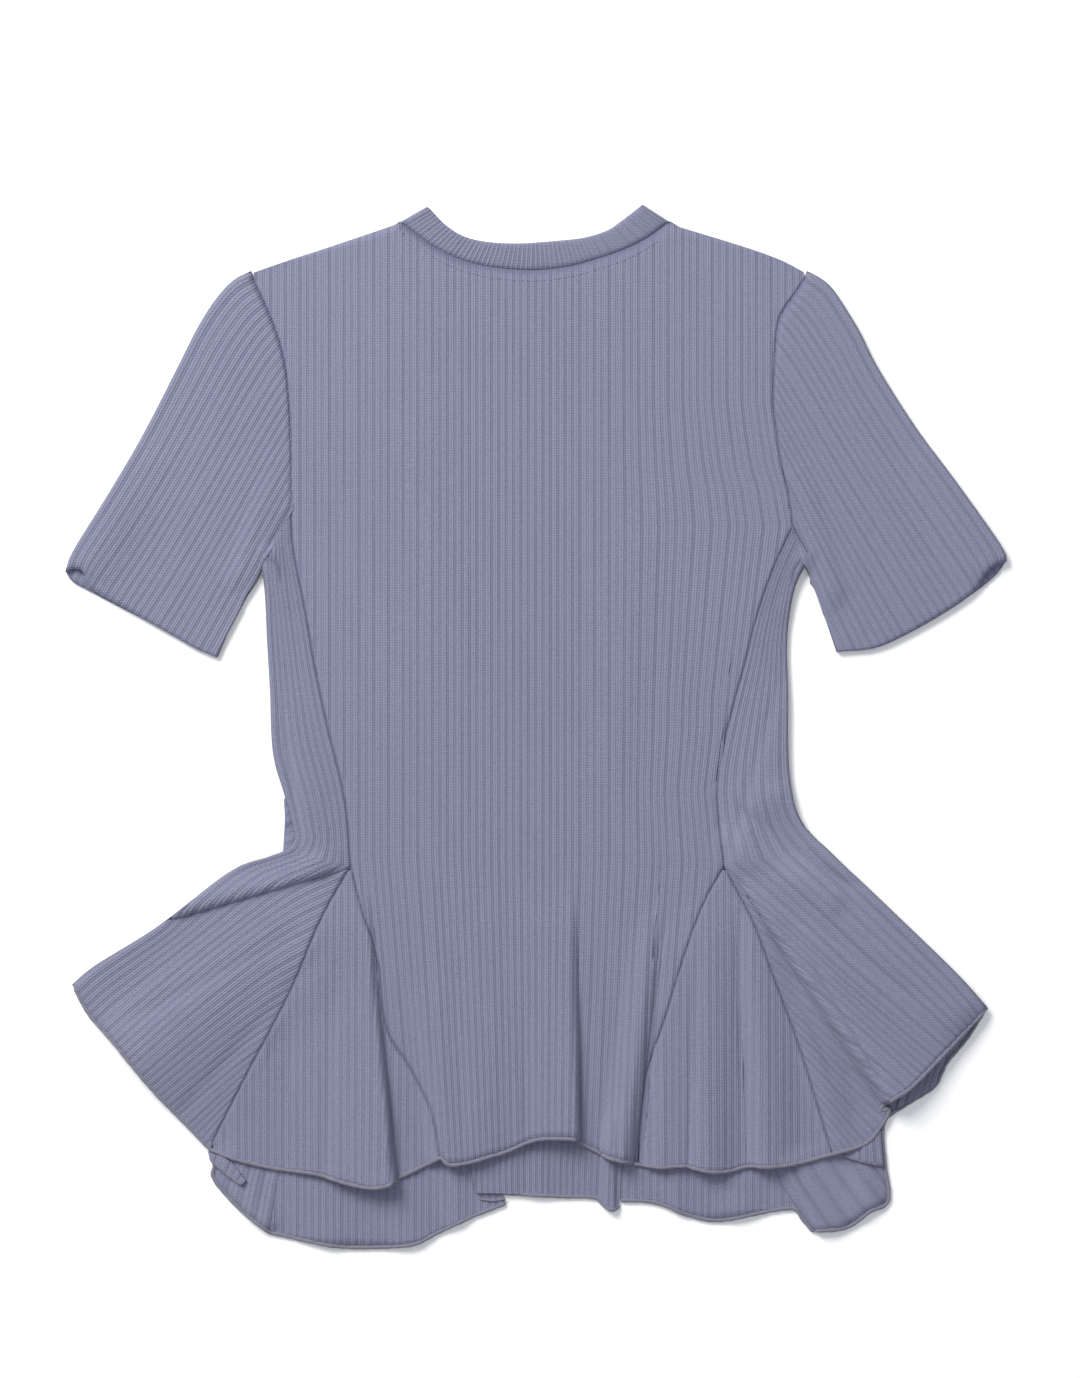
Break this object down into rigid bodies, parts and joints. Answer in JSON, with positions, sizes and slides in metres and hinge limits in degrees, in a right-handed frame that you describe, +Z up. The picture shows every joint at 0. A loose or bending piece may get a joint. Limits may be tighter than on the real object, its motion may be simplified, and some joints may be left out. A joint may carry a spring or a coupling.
{
  "type": "rib-knit peplum blouse",
  "caption": "Rib-knit peplum top laid flat, back uppermost, with short set-in sleeves, a ribbed round neckband and flared gussets in the hem.",
  "frame": {"origin": "middle of the laid garment's outline, at the height of the surface it lies on", "axes": "+Y from the hem to the neck, +X across the garment to the right as seen from above, +Z up from the surface"},
  "size_m": [0.6158, 0.687, 0.0167],
  "materials": {
    "rib_knit": "soft matt viscose and elastane rib knit, greyed lavender blue",
    "neckband_rib": "doubled fine rib band in the same yarn"
  },
  "bodies": {
    "root": {"back_centre": "rib_knit", "front_centre": "rib_knit", "side_left": "rib_knit", "side_right": "rib_knit", "godet_back_left": "rib_knit", "godet_back_right": "rib_knit", "godet_front_left": "rib_knit", "godet_front_right": "rib_knit", "sleeve_left": "rib_knit", "sleeve_right": "rib_knit", "neckband": "neckband_rib"}
  },
  "joints": []
}
